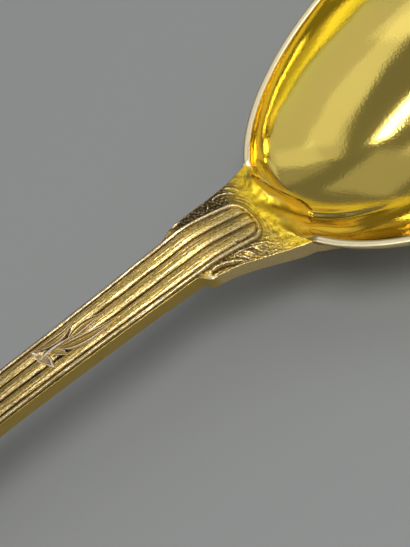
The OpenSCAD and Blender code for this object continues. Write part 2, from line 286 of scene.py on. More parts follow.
# in what follows a is the angle round the bowl and s the share of the way out from its middle to its rim
def sag(a, s):
    # how far down the wall is, 0 at the rim and 1 at the bottom
    steep = np.radians(mix(bowl["endSteep"], bowl["sideSteep"], np.sin(a) ** 2))
    arc = (np.cos(np.arcsin(s * np.sin(steep))) - np.cos(steep)) / (1 - np.cos(steep))
    return np.clip(arc, 0, 1) ** bowl["wallPower"]


def bowlPlan(a, s, inset):
    run = np.where(np.cos(a) < 0, bowl["neckRun"], tipRun) - inset
    return widestX + s * np.cos(a) * run, s * np.sin(a) * (bowlWidth / 2 - inset)


def outerWall(a, s):
    x, y = bowlPlan(a, s, 0)
    top = rimZ(bowlPlan(a, 1, 0)[0])
    return x, y, np.maximum(0, top - (top + bowl["restCut"]) * sag(a, s))


def innerWall(a, s):
    x, y = bowlPlan(a, s, bowl["rimWall"])
    top = rimZ(bowlPlan(a, 1, 0)[0])
    return x, y, top - (top - bowl["floorWall"]) * sag(a, s)


def mouth(a):
    # 1 in the middle of the neck, 0 where the cut meets the full rim
    off = np.abs(a - math.pi) / mouthHalf
    return np.where(off < 1, np.cos(np.minimum(off, 1) * math.pi / 2) ** 2, 0)


def wallEnd(a):
    return 1 - bowl["mouthCut"] / bowl["neckRun"] * mouth(a)


# neck: ridges and grooves that the melt and the hammer left across the solder and on into the bowl's wall
neck = {
    "fadeIn": 6, "fadeOut": 2.5, "rollIn": 4, "rollOut": 3,      # how fast the lines rise and run out
    # from the seam: a line, its half width, its height and its grime, which also paints a dark reflection in
    # its groove
    "lines": [
        [[(1.7, 9.4), (1.6, 8.4), (1.2, 7.2), (1.2, 5.6), (1.4, 4.0), (1.7, 2.0), (2.2, 0.4)],
         0.45, 0.14, 0],
        [[(2.4, 9.5), (2.3, 8.1), (2.1, 6.2), (2.2, 4.3), (2.4, 2.6)], 0.50, -0.12, 0.5],
        [[(-1.0, 7.4), (0.1, 6.6), (0.6, 5.4), (0.8, 4.2), (1.1, 2.7), (1.5, 1.7), (2.2, 0.6)],
         0.28, 0.20, 0],
        [[(-0.9, 6.6), (0.0, 6.0), (0.3, 4.6), (0.6, 3.2), (1.0, 1.8), (1.7, 0.8)], 0.24, -0.24, 0.8],
        [[(-1.4, 3.3), (-1.0, 1.7), (-0.1, 0.2), (1.6, -0.6), (3.6, -1.8), (5.6, -3.0), (7.7, -3.7),
          (10.7, -4.5)], 0.70, 0.20, 0],
        [[(-2.6, 1.5), (-1.5, 0.1), (-0.2, -1.3), (2.1, -2.3), (4.4, -3.7), (7.0, -4.8), (11.4, -5.9),
          (14.6, -6.4)], 0.60, -0.22, 0.7],
        [[(-2.3, -1.3), (-1.1, -3.0), (0.3, -4.2), (2.0, -4.9), (3.7, -6.1), (6.0, -7.0), (11.0, -8.2)],
         1.00, 0.36, 0],
        [[(-2.2, -3.2), (-2.1, -5.2), (-1.5, -6.3), (0.9, -7.0), (3.8, -8.5), (6.7, -8.9), (9.7, -9.5)],
         0.50, -0.12, 0.5],
    ],
    # the fullest of the melt, along the far half of the seam
    "roll": [(-2.3, 6.8), (-1.3, 5.6), (-0.8, 4.4), (-0.5, 3.0), (-0.1, 1.6), (0.5, 0.4), (1.5, -0.6),
             (3.0, -1.5)],
    "rollWidth": 1.5, "rollHeight": 0.75,
}


def ridge(x, y, points, width, fadeIn, fadeOut, taper=0):
    # a line with soft sides, 1 along its middle and running out at its ends, placed from the seam
    away, part = wayTo(x - seamX, y, points)
    width = width * mix(1 - taper, 1, np.sin(part * math.pi))
    return np.exp(-(away / width) ** 2) * smooth(part * fadeIn) * smooth((1 - part) * fadeOut)


def neckRelief(x, y):
    height, grimeAndShade = np.zeros(np.shape(x)), np.zeros(np.shape(x))
    for points, width, tall, grimyAndShaded in neck["lines"]:
        shape = ridge(x, y, points, width, neck["fadeIn"], neck["fadeOut"])
        height = height + tall * shape
        # grime in the grooves, also a painted dark reflection of the neck's bands
        grimeAndShade = np.maximum(grimeAndShade, grimyAndShaded * shape)
    return height, grimeAndShade


def roll(x, y):
    shape = ridge(x, y, neck["roll"], neck["rollWidth"], neck["rollIn"], neck["rollOut"])
    return neck["rollHeight"] * shape


def makeBowl():
    piece, turn, rise = addSphere("bowl_shell", bowl["segments"], bowl["rings"])
    a = turn + math.radians(bowl["neckBunching"]) * np.sin(turn)
    overRim = math.radians(bowl["rimShare"])
    reach = np.cos(np.maximum(0, np.abs(rise) - overRim) / (math.pi / 2 - overRim) * math.pi / 2)
    s = reach * wallEnd(a)
    outer, inner = np.array(outerWall(a, s)), np.array(innerWall(a, s))
    across = np.clip((rise + overRim) / (2 * overRim), 0, 1)      # 0 outside, 1 inside
    onInside = across > 0.99
    onRim = (reach > 0.9999) * (1 - smooth(mouth(a) * 6))         # the rim stops where the mouth is cut
    x, y, z = mix(outer, inner, across)
    z = z + bowl["rimRound"] * halfRound(2 * across - 1) * onRim
    low = np.where(rise > 0, 1 - reach, 0)                        # 0 at the rim, 1 in the bottom
    z = z + bowl["wave"] * grain(x, y, bowl["waveSize"], 3) * smooth(low * 4) * onInside
    dents = bowl["dent"] * grain(0.8 * x + 0.6 * y, z + 0.5 * y, bowl["dentSize"], 4)
    z = z + dents * smooth(low * 30) * smooth((0.4 - low) * 6) * onInside
    relief, grimeAndShade = neckRelief(x, y)
    inside = smooth(low * 100) * onInside
    setPoints(piece, x, y, z + relief * inside)
    paint(piece, "wearAndSheen", bowl["rimWear"] * smooth(halfRound(2 * across - 0.9) * 1.6) * onRim)
    # the neck's grooves painted darker: grime and painted dark reflection
    paint(piece, "patinaAndShade", grimeAndShade * inside)
    # the upper walls painted a richer yellow: a painted reflection of the gilt walls in each other
    reflectedYellow = smooth((bowl["richDepth"] - low) / bowl["richFade"]) * inside
    paint(piece, "meltAndReflection", reflectedYellow * smooth((x - seamX - bowl["richStart"]) / bowl["richRun"]))
    settle(piece, polishedGilt, "bowl")


makeBowl()

# handle: a sphere drawn out along the spoon, one ring for each station
handle = {
    "topPoints": 170, "edgePoints": 3, "sidePoints": 3, "backPoints": 20,
    # stations along the handle, closest where the sprig, the notch and the shoulders are
    "endStations": 26, "plateStations": 26, "stemStations": 46, "sprigStations": 120, "notchStations": 24,
    "shoulderStations": 176, "heelStations": 22, "sprigStart": -12, "notchBefore": 2, "notchAfter": 1,
    "edgeRadius": 0.16,
    "stemWidth": 7.3, "neckWidth": 8.6, "waistRun": 39,
    "stemSide": 2.5, "seamSide": 3.4, "deepenRun": 12, "stemRise": 3.6, "levelRun": 29,
    "endWidth": 21, "endRound": 20, "flareRun": 74, "endSide": 1.6,
    "backSwell": 0.6, "shoulderSwell": 2.2,
    "shoulderLength": 15.2, "shoulderWidth": 11.2, "shoulderPower": 1.5, "shoulderFall": 0.5,
    "notchSlope": 1.3, "notchSoft": 0.4, "farSoft": 1.1, "softReach": 2.6,      # the far notch is rubbed more
    "heelLength": 14, "heelWall": 2.0, "heelTip": 0.35, "seatGap": 0.1,
    "threadWidth": 0.7, "threadHeight": 0.4, "edgeWidth": 0.24,
    "reedHeight": 0.5, "reedShare": 0.97,
    "panelWidth": 7.6, "archLength": 2.6, "archGap": 4.8, "archSquare": 2.6,
    "reedReach": 28, "reedArch": 7,
    "fieldEdge": 0.2, "fieldStart": 0.8,      # how softly the shoulders' ground starts
    "groundDepth": 0.14, "stipple": 0.06, "stippleSize": 0.24,
    "sand": 0.016, "sandSize": 0.11, "streak": 0.04, "streakSize": 0.17, "plainShare": 0.8,
    "flowRun": 5.0, "flowPitch": 0.62, "flowHeight": 0.1, "flowFade": 1.4, "lump": 0.1, "lumpSize": 0.9,
    "scallop": 0.16, "scallopSize": 0.55, "mottle": 0.45, "farMottle": 0.4, "mottleSize": 0.4,
    "bandStart": 1.5, "bandRun": 4,           # the band on the shoulders' sides, painted paler as a painted sheen and with less painted shade
    "calyxRun": 25.2,                         # from the notch back to the sprig's calyx
    # how far round it a crest or groove is measured, then shares of wear and sheen, of grime, and of painted
    # shade and painted shadow
    "crestReach": [(0, 0.14), (0, -0.14), (0, 0.3), (0, -0.3), (0.25, 0), (-0.25, 0)],
    "crestWearAndSheen": 0.75, "farThreadPale": 0.25, "meltWear": 0.25, "bandSheen": 0.5, "tipReach": 1.0,
    "grooveGrime": 0.8, "meltGrime": 0.4, "reedGrime": 0.95, "farFieldDark": 0.85, "nearFieldDark": 0.25,
    "dipShadeLevel": 0.5, "sprigShadowLevel": 0.9, "sideShade": 0.3, "bandShadeCut": 0.15, "backDarker": 0.12,
    # heights above or below the relief round it that count as full wear and full grime, and other soft edges
    "crestFull": 0.04, "grooveFull": 0.09, "tipSoft": 0.8, "sprigShadowSoft": 0.15,
    "reedEdge": 0.89, "reedSoft": 0.07,       # shares across a reed
    "dipStart": 1, "dipRun": 9, "dipEdge": 0.3, "dipSoft": 0.4,
    "fallStart": 0.6, "fallRun": 0.8, "groundStart": 1.2,
    "leafPoints": 14, "leafFade": 6, "leafTaper": 0.4,
    # struck leaves of the shoulders, from the seam: a bent line, its half width and height
    "lines": [
        [[(-14.9, -5.4), (-12.2, -5.95), (-9.5, -6.2)], 0.20, 0.18],
        [[(-14.8, -4.8), (-12.6, -3.9), (-9.5, -6.1)], 0.34, 0.30],
        [[(-14.9, -5.0), (-13.6, -4.5), (-10.8, -5.8)], 0.16, -0.32],
        [[(-11.0, -4.4), (-8.9, -3.7), (-8.2, -6.1)], 0.26, 0.26],
        [[(-10.8, -4.7), (-10.2, -4.9), (-9.4, -6.0)], 0.14, -0.22],
        [[(-9.7, -4.3), (-7.8, -4.2), (-5.7, -5.3)], 0.16, 0.18],
        [[(-8.0, -4.1), (-6.8, -4.2), (-5.3, -5.2)], 0.14, 0.16],
        [[(-8.7, -4.4), (-7.9, -4.7), (-7.4, -5.9)], 0.15, -0.22],
        [[(-15.2, 5.3), (-14.4, 5.5), (-13.4, 5.45)], 0.16, 0.22],
        [[(-15.4, 5.0), (-15.1, 5.05), (-14.6, 5.05)], 0.15, -0.20],
        [[(-8.8, 5.9), (-9.0, 5.4), (-9.3, 4.8)], 0.13, 0.24],
        [[(-8.2, 5.9), (-6.3, 6.7), (-4.6, 5.0)], 0.20, 0.26],
        [[(-8.0, 5.7), (-6.8, 6.1), (-5.6, 5.3)], 0.13, -0.20],
        [[(-5.6, 6.9), (-4.4, 6.6), (-4.0, 5.2)], 0.18, 0.22],
    ],
    # painted shadow under and between the sprig's leaves, from the calyx: a line and its half width
    "sprigShadow": [
        [[(2.0, -0.7), (2.7, -1.1)], 0.45],
        [[(3.3, -0.6), (4.0, -1.0)], 0.32],
        [[(1.6, 1.0), (2.6, 0.8)], 0.34],
        [[(5.2, -0.8), (6.5, -1.0), (8.5, -0.6)], 0.26],
        [[(-0.7, -0.7), (-2.2, -0.9), (-4.0, -1.0)], 0.22],
        [[(0.6, 1.6), (1.2, 1.0)], 0.3],
    ],
}
endX = handleLow[0]
notchX = seamX - handle["shoulderLength"]
stemZ = seamZ + handle["stemRise"]
levelX = notchX - handle["levelRun"]
waistX = notchX - handle["waistRun"]
wideX = endX + handle["endRound"]
flareX = wideX + handle["flareRun"]
reedEndX = flareX - handle["reedReach"]
archX = seamX - handle["archGap"] - handle["archLength"]
calyxX = notchX - handle["calyxRun"]
endPanel = handle["endWidth"] / 2 - handle["edgeWidth"]


def stemHalf(x):
    grow = np.maximum(0, (x - waistX) / handle["waistRun"]) ** 2
    return mix(handle["stemWidth"], handle["neckWidth"], grow) / 2


def outline(x):
    # half the handle's width: rounded end, flare, stem, notch, shoulders and heel
    flare = mix(handle["endWidth"], handle["stemWidth"], smooth((x - wideX) / handle["flareRun"])) / 2
    cap = handle["endWidth"] / 2 * halfRound(np.minimum(0, x - wideX) / handle["endRound"])
    shoulder = mix(handle["shoulderWidth"], bowl["seamWidth"],
                   np.maximum(0, (x - notchX) / handle["shoulderLength"]) ** handle["shoulderPower"]) / 2
    heel = bowl["seamWidth"] / 2 * halfRound(np.maximum(0, x - seamX) / handle["heelLength"])
    bar = np.where(x < wideX, cap, np.maximum(stemHalf(x), flare))
    step = smooth((x - notchX + handle["notchSlope"]) / handle["notchSlope"])
    return np.where(x < seamX, mix(bar, shoulder, step), heel)


def handleHalf(x, soft):
    # the outline, with the corners of the notch rubbed down
    rubbed = np.mean([outline(x + soft * d) for d in (-1, -0.6, -0.2, 0.2, 0.6, 1)], axis=0)
    nearNotch = np.abs(x - notchX + handle["notchSlope"] / 2) < handle["softReach"]
    return np.where(nearNotch, rubbed, outline(x))


def along(x):
    return smooth((x - endX) / (levelX - endX))


def barSide(x):
    return mix(handle["endSide"], handle["stemSide"], along(x))


def sideBand(x):
    deepen = smooth((x - notchX + handle["deepenRun"]) / (handle["shoulderLength"] + handle["deepenRun"]))
    return mix(barSide(x), handle["seamSide"], deepen)


def topZ(x):
    drop = smooth((x - notchX) / handle["shoulderLength"])
    bar = along(x) * (stemZ - handle["stemSide"] - handle["backSwell"]) + barSide(x) + handle["backSwell"]
    return np.where(x < notchX, bar, stemZ - handle["stemRise"] * drop)


def eggPlace(x, y):
    # angle round the bowl and way out from its middle, at a place on the plan
    ex = (x - widestX) / np.where(x < widestX, bowl["neckRun"], tipRun)
    ey = 2 * y / bowlWidth
    return np.arctan2(ey, ex) % (2 * math.pi), np.hypot(ex, ey)


def underBowl(x, y):
    a, s = eggPlace(x, y)
    return np.where(s < 1, outerWall(a, np.minimum(s, 1))[2], seamZ)


def panelHalf(x):
    taper = np.clip((x - notchX) / (archX - notchX), 0, 1)
    onShoulder = mix(handle["neckWidth"] - 2 * handle["edgeWidth"], handle["panelWidth"], taper) / 2
    onStem = np.maximum(stemHalf(x), outline(np.minimum(x, waistX))) - handle["edgeWidth"]
    return np.where(x < notchX, np.where(x < wideX, endPanel, onStem), onShoulder)


def panelWay(x, y):
    # way out from the middle of the panel, rounding its arch and the handle's end
    power = handle["archSquare"]
    ahead = np.maximum(0, (x - archX) / handle["archLength"]) * handle["panelWidth"] / 2
    arch = (ahead ** power + np.abs(y) ** power) ** (1 / power)
    cap = np.hypot((wideX - x) / handle["endRound"], y / endPanel) * endPanel
    return np.where(x < wideX, cap, arch)


def fieldFall(x, y):
    # the shoulders fall away beside the panel, most at the notch
    part = np.clip((x - notchX) / handle["shoulderLength"], 0, 1)
    beside = smooth((np.abs(y) - panelHalf(x)) / np.maximum(outline(x) - panelHalf(x), 0.3))
    started = smooth((x - notchX + handle["fallStart"]) / handle["fallRun"])
    return handle["shoulderFall"] * (1 - part) * beside * started


def shoulderField(x, y):
    # 1 on the ground of the shoulders, outside the panel
    beside = smooth((panelWay(x, y) - panelHalf(x)) / handle["fieldEdge"])
    return beside * smooth((x - notchX) / handle["fieldStart"])


def nearSeam(x, y):
    # 1 where the metal of the shoulders was melted and rubbed smooth beside the seam
    s = eggPlace(x, y)[1]
    return smooth(1 - (s - 1) * bowl["neckRun"] / handle["flowRun"]) * (x > archX - 1)


def mottle(x, y):
    # grime that stayed in the rough of the melt
    spots = grain(x, y, handle["mottleSize"], 31) + 0.6 * grain(x, y, handle["mottleSize"] / 2.2, 32)
    return handle["mottle"] * smooth((spots - 0.1) / 0.6) * (1 - handle["farMottle"] * smooth((y - 0.5) / 2))


def reedPlace(x, y):
    # how far across its reed a place lies, from -1 to 1, and the half width inside the threads
    inside = panelHalf(x) - handle["threadWidth"]
    pitch = 2 * inside / 3
    return (np.abs(y) - pitch * np.rint(np.abs(y) / pitch)) / (pitch / 2), inside


def nearEnd(x, y):
    # 1 on the reeds, falling to 0 where they run out in a round towards the handle's end
    inside = reedPlace(x, y)[1]
    far = np.hypot(np.maximum(0, (reedEndX - x) / handle["reedArch"]), y / inside)
    return np.where(x < reedEndX, smooth((1 - far) * handle["reedArch"] / handle["threadWidth"]), 1)


def sandy(x):
    # the sand and streaks of the reeds thin out on the plain end
    return 1 - handle["plainShare"] * smooth((reedEndX - x) / handle["reedArch"])


def strike(x, y):
    # height of the struck relief above the plain top
    x, y = np.broadcast_arrays(x, y)
    half = panelHalf(x)
    off, inside = reedPlace(x, y)
    way = panelWay(x, y)
    thread = handle["threadHeight"] * halfRound(2 * (half - way) / handle["threadWidth"] - 1)
    reed = handle["reedHeight"] * np.maximum(0, 1 - np.abs(off / handle["reedShare"]) ** 2.5) ** 0.5
    ragged = handle["scallop"] * (1 + grain(x, y, handle["scallopSize"], 21))
    nearArch = np.where(x > archX - 2, smooth((inside - way - ragged + 0.2) / 0.5), 1)
    reeds = np.where(np.abs(y) < inside, reed, 0) * nearArch * nearEnd(x, y)
    height = np.where(way > half, 0, np.where(way > inside, thread, reeds))
    height = height + handle["sand"] * sandy(x) * grain(x * 0.6, y, handle["sandSize"], 8)
    streaks = handle["streak"] * sandy(x) * grain(x * 0.05, y, handle["streakSize"], 13)
    height = height + streaks * smooth((half - way) / handle["fieldEdge"])
    # ground of the shoulders: stippled beside the panel, flowing in ridges round the arch near the seam
    stipple = handle["stipple"] * grain(x, y, handle["stippleSize"], 5) - handle["groundDepth"]
    beyond = np.maximum(0, way - half)
    ridges = -handle["flowHeight"] * np.cos(beyond * 2 * math.pi / handle["flowPitch"])
    ridges = ridges * np.exp(-beyond / handle["flowFade"]) * (0.7 + 0.3 * grain(x, y, 1.7, 9))
    lumps = handle["lump"] * grain(0.8 * x + 0.6 * y, 0.8 * y - 0.6 * x, handle["lumpSize"], 6)
    fromSeam = (eggPlace(x, y)[1] - 1) * bowl["neckRun"]
    ground = mix(stipple, ridges + lumps, nearSeam(x, y)) * smooth(fromSeam / handle["groundStart"])
    leaves = 0
    fade, steps = handle["leafFade"], np.linspace(0, 1, handle["leafPoints"])
    for points, width, tall in handle["lines"]:
        leaves = leaves + tall * ridge(x, y, bent(*points, steps), width, fade, fade, handle["leafTaper"])
    return height + shoulderField(x, y) * (ground + leaves + roll(x, y))


def makeHandle():
    turns = np.linspace(0, math.pi / 2, handle["endStations"], endpoint=False)
    heelTurns = np.linspace(0, math.pi / 2, handle["heelStations"])
    starts = [wideX, reedEndX - handle["reedArch"], handle["sprigStart"], notchX - handle["notchBefore"],
              notchX + handle["notchAfter"], seamX]
    stretches = [handle[key + "Stations"] for key in ("plate", "stem", "sprig", "notch", "shoulder")]
    stations = np.concatenate(
        [wideX - handle["endRound"] * np.cos(turns)]
        + [np.linspace(*stretch, endpoint=False) for stretch in zip(starts, starts[1:], stretches)]
        + [seamX + handle["heelLength"] * np.sin(heelTurns)])
    counts = [handle[key] for key in ("topPoints", "edgePoints", "sidePoints", "backPoints")]
    topCount, edgeCount, sideCount, backCount = counts
    segments = topCount + 4 * edgeCount + 2 * sideCount + backCount
    piece, pole, ring, place = addTube("handle_bar", segments, len(stations) - 1)
    x = stations[:, None]
    near, far = handleHalf(x, handle["notchSoft"]), handleHalf(x, handle["farSoft"])
    radius = np.minimum(handle["edgeRadius"], near * 0.4)

    def top(y):
        height = topZ(x) + strike(x, y) - fieldFall(x, y)
        seat = underBowl(x, y) - handle["seatGap"]
        return np.where(eggPlace(x, y)[1] < 1, np.minimum(height, seat), height)

    def back(y):
        drop = smooth((x - notchX) / handle["shoulderLength"])
        swell = mix(handle["backSwell"], handle["shoulderSwell"], drop)
        bar = topZ(x) - sideBand(x) - swell * (1 - (y / np.maximum(np.where(y > 0, far, near), 0.01)) ** 2)
        wall = mix(handle["heelWall"], handle["heelTip"], np.clip((x - seamX) / handle["heelLength"], 0, 1))
        heel = underBowl(x, y) - handle["seatGap"] - wall
        return mix(bar, heel, smooth((x - neckX) / (2 * (seamX - neckX))))

    quarter = (np.arange(edgeCount) + 1)[None, :] / edgeCount * math.pi / 2
    level = np.arange(1, sideCount + 1)[None, :] / (sideCount + 1)
    acrossTop, acrossBack = [np.linspace(*ends)[None, :] for ends in ((1, -1, topCount), (-1, 1, backCount))]
    acrossTop = acrossTop * (np.where(acrossTop > 0, far, near) - radius)
    acrossBack = acrossBack * (np.where(acrossBack > 0, far, near) - radius)

    def side(sign):
        # from the top's edge round to the back's edge
        half = far if sign > 0 else near
        flat = half - radius
        upper, lower = top(sign * flat), back(sign * flat)
        thick = np.maximum(upper - lower, 0.02)
        r = np.minimum(radius, thick / 3)
        ys = [sign * (flat + radius * np.sin(quarter)), sign * half * np.ones_like(level),
              sign * (flat + radius * np.cos(quarter - math.pi / 2 / edgeCount))]
        zs = [upper - r * (1 - np.cos(quarter)), mix(upper - r, lower + r, level),
              lower + r * (1 - np.sin(quarter - math.pi / 2 / edgeCount))]
        return np.concatenate(ys, axis=1), np.concatenate(zs, axis=1)

    rightY, rightZ = side(-1)
    leftY, leftZ = side(1)
    ys = np.concatenate([acrossTop, rightY, acrossBack, leftY[:, ::-1]], axis=1)
    zs = np.concatenate([top(acrossTop), rightZ, back(acrossBack), leftZ[:, ::-1]], axis=1)
    middle = zs.mean(axis=1)
    setPoints(piece, stations[ring], np.where(pole, 0, ys[ring, place]),
              np.where(pole, middle[ring], zs[ring, place]))

    # crests are worn and recesses hold dirt, from how each point stands to the relief round it
    around = np.mean([strike(x + dx, acrossTop + dy) for dx, dy in handle["crestReach"]], axis=0)
    crest = strike(x, acrossTop) - around
    meltAndReflection = nearSeam(x, acrossTop)
    field = shoulderField(x, acrossTop)
    backStart = topCount + rightY.shape[1]

    def paintAll(name, onTop, onSides, onBack):
        full = np.zeros(zs.shape) + onSides
        full[:, :topCount] = onTop
        full[:, backStart:backStart + backCount] = onBack
        paint(piece, name, np.where(pole, 0, full[ring, place]))

    bandEnd = seamX + handle["bandRun"]
    band = smooth((x - notchX) / handle["bandStart"]) * smooth((bandEnd - x) / handle["bandRun"])
    tips = np.hypot(x - notchX, acrossTop + handle["shoulderWidth"] / 2 - 0.2)
    # painted shadow round the sprig's leaves
    sprigShadow = 0
    for points, width in handle["sprigShadow"]:
        away = wayTo(x - calyxX, acrossTop, points)[0]
        sprigShadow = np.maximum(sprigShadow, handle["sprigShadowLevel"] * smooth((width - away) / handle["sprigShadowSoft"]))
    # the far thread is painted paler than the near one
    farThread = (acrossTop > panelHalf(x) - handle["threadWidth"]) * (1 - field)
    crestWearAndSheen = mix(handle["crestWearAndSheen"] + handle["farThreadPale"] * farThread, handle["meltWear"], meltAndReflection)
    rubbed = smooth(crest / handle["crestFull"]) * crestWearAndSheen
    # the near notch's tip is bare
    rubbed = np.maximum(rubbed, smooth((handle["tipReach"] - tips) / handle["tipSoft"]))
    # the shoulders' sides painted paler: a painted sheen
    paintAll("wearAndSheen", rubbed, handle["bandSheen"] * band, 0)

    deep = smooth((0.01 - crest) / handle["grooveFull"])
    groove = deep * mix(handle["grooveGrime"], handle["meltGrime"], meltAndReflection)
    off, inside = reedPlace(x, acrossTop)
    reeded = smooth((inside + 0.05 - panelWay(x, acrossTop)) / 0.1) * nearEnd(x, acrossTop)
    offEdge = smooth((np.abs(off) - handle["reedEdge"]) / handle["reedSoft"])
    betweenReeds = handle["reedGrime"] * offEdge * reeded
    # the shoulders' ground is painted darker on the far side than on the near side
    onGround = np.where(acrossTop > 0, handle["farFieldDark"], handle["nearFieldDark"])
    onField = field * mix(onGround, mottle(x, acrossTop), meltAndReflection)
    # painted shade: the reeds' flanks are painted darker where they dip to the bowl
    dipping = smooth((x - notchX - handle["dipStart"]) / handle["dipRun"]) * (1 - meltAndReflection)
    offCrest = smooth((np.abs(off) - handle["dipEdge"]) / handle["dipSoft"])
    dipShade = handle["dipShadeLevel"] * offCrest * reeded * dipping
    grimeAndShade = np.max(np.broadcast_arrays(groove, betweenReeds, onField, dipShade, sprigShadow), axis=0)
    # the sides painted darker as painted shade, less on the shoulders' band, and the back painted a little
    # darker
    paintAll("patinaAndShade", grimeAndShade, handle["sideShade"] - handle["bandShadeCut"] * band, handle["backDarker"])
    # the melt beside the seam painted a richer yellow: a painted reflection of the bowl's gold
    paintAll("meltAndReflection", meltAndReflection, 0, 0)
    paintAll("sand", (1 - meltAndReflection) * sandy(x), 0, 0)
    settle(piece, struckGilt, "handle")


makeHandle()

# solder: a sphere drawn out along the seam, from the bowl's cut edge up and over onto the shoulders
solder = {
    "stations": 230, "topPoints": 110, "underPoints": 24, "span": 0.985, "ledge": 1.7, "dip": 0.4,
    "runIn": 0.032, "runOut": 0.034,      # how far it runs over the wall and the shoulders, as shares
    "farStart": -5, "farRun": 8,          # where across the neck its far half starts, with the ledge and dip
    "dipRun": 1.4, "slopeStep": 0.004,
    "lift": 0.09, "dive": 0.03, "lump": 0.16, "lumpSize": 1.2, "ripple": 0.05, "rippleSize": 0.6,
    "least": 0.08, "lowest": 0.02,        # its least thickness, and its underside above the bowl's
    "crestWearAndSheen": 0.25, "crestFull": 0.25, "meltStart": 0.4, "meltRun": 1.2, "shelfRun": 0.4,
    "mottleStart": 0.55, "mottleRun": 0.3,      # shares of the way from the bowl to the shoulders
}


def makeSolder():
    alongSeam = -np.cos(np.linspace(0, math.pi, solder["stations"] + 1))[:, None]
    topCount, underCount = solder["topPoints"], solder["underPoints"]
    segments = topCount + underCount
    piece, pole, ring, place = addTube("solder_fill", segments, solder["stations"])
    a = math.pi + alongSeam * mouthHalf * solder["span"]
    low = wallEnd(a) - solder["runIn"] * mouth(a)
    high = 1 + solder["runOut"] * mouth(a)
    q = np.linspace(0, 1, topCount)[None, :]      # 0 in the bowl, 1 on the shoulders
    s = mix(low, high, q)
    inset = bowl["rimWall"] * (1 - smooth((s - low) / np.maximum(1 - low, 1e-6)))
    x, y = bowlPlan(a, s, inset)

    def wallZ(way):
        return innerWall(a, np.minimum(way, 1))[2]

    def shoulderZ(way):
        return topZ(bowlPlan(a, way, 0)[0])

    # one smooth turn from the wall's slope up to a ledge that carries on the shoulders' slope
    farSide = smooth((bowlPlan(a, 1, 0)[1] - solder["farStart"]) / solder["farRun"])
    shelf = 1 - solder["ledge"] / bowl["neckRun"] * mouth(a) * farSide
    run = np.maximum(shelf - low, 1e-6)
    w = np.clip((s - low) / run, 0, 1)
    startZ, endZ = wallZ(low), shoulderZ(shelf)
    step = solder["slopeStep"]
    startSlope = (wallZ(low + step) - startZ) / step * run
    endSlope = (shoulderZ(shelf + step) - endZ) / step * run
    turnZ = ((1 + 2 * w) * (1 - w) ** 2 * startZ + w * (1 - w) ** 2 * startSlope
             + w * w * (3 - 2 * w) * endZ + w * w * (w - 1) * endSlope)
    over = smooth((s - 1) / np.maximum(high - 1, 1e-6))
    plain = np.where(s < shelf, turnZ, topZ(x) + over * (strike(x, y) - fieldFall(x, y)))
    rough = (solder["lump"] * grain(0.8 * x + 0.6 * y, 0.8 * y - 0.6 * x, solder["lumpSize"], 11)
             + solder["ripple"] * grain(0.6 * x - 0.8 * y, 0.6 * y + 0.8 * x, solder["rippleSize"], 12))
    free = smooth(np.minimum(q, 1 - q) * 6) * smooth(mouth(a) * 3)
    relief, grimeAndShade = neckRelief(x, y)
    tips = smooth(mouth(a) * 2.5)
    ends = mix(smooth(q * 7), -1, over ** 2) * solder["lift"] * tips - solder["dive"] * (1 - smooth(q * 10))
    dip = solder["dip"] * farSide * mouth(a) * smooth(w * 1.4)
    dip = dip * smooth((1 - s) * bowl["neckRun"] / solder["dipRun"])
    rolled = roll(x, y) * (1 - over) * smooth(w)
    upper = plain - dip + rolled + ends + rough * free + relief * smooth((1 - q) * 8)
    under = np.minimum(upper - solder["least"], underBowl(x, y) + solder["lowest"])
    back = np.rint(np.linspace(topCount - 1, 0, underCount)).astype(int)
    xs = np.concatenate([x, x[:, back]], axis=1)
    ys = np.concatenate([y, y[:, back]], axis=1)
    zs = np.concatenate([upper, under[:, back]], axis=1)
    setPoints(piece, *[np.where(pole, c.mean(axis=1)[ring], c[ring, place]) for c in (xs, ys, zs)])

    def paintTop(name, values):
        full = np.zeros(zs.shape)
        full[:, :topCount] = values
        paint(piece, name, np.where(pole, 0, full[ring, place]))

    # the neck's ridges painted paler and its grooves darker: wear and grime, with the painted highlights and
    # painted dark reflections of its bands
    paintTop("wearAndSheen", smooth(relief / solder["crestFull"]) * solder["crestWearAndSheen"])
    mottled = mottle(x, y) * smooth((q - solder["mottleStart"]) / solder["mottleRun"])
    paintTop("patinaAndShade", np.maximum(grimeAndShade, mottled))
    fromWall, fromShelf = (s - low) * bowl["neckRun"], (s - shelf) * bowl["neckRun"]
    molten = np.maximum(smooth((fromWall - solder["meltStart"]) / solder["meltRun"]),
                        smooth(fromShelf / solder["shelfRun"]))
    nearFade = mix(smooth(mouth(a) * 1.4), 1, farSide)      # the painted yellow reflection fades out along the near wall
    paintTop("meltAndReflection", np.maximum(molten * nearFade, (1 - smooth(mouth(a) * 4)) * farSide))
    settle(piece, gildedSolder, "solder_seam")


makeSolder()

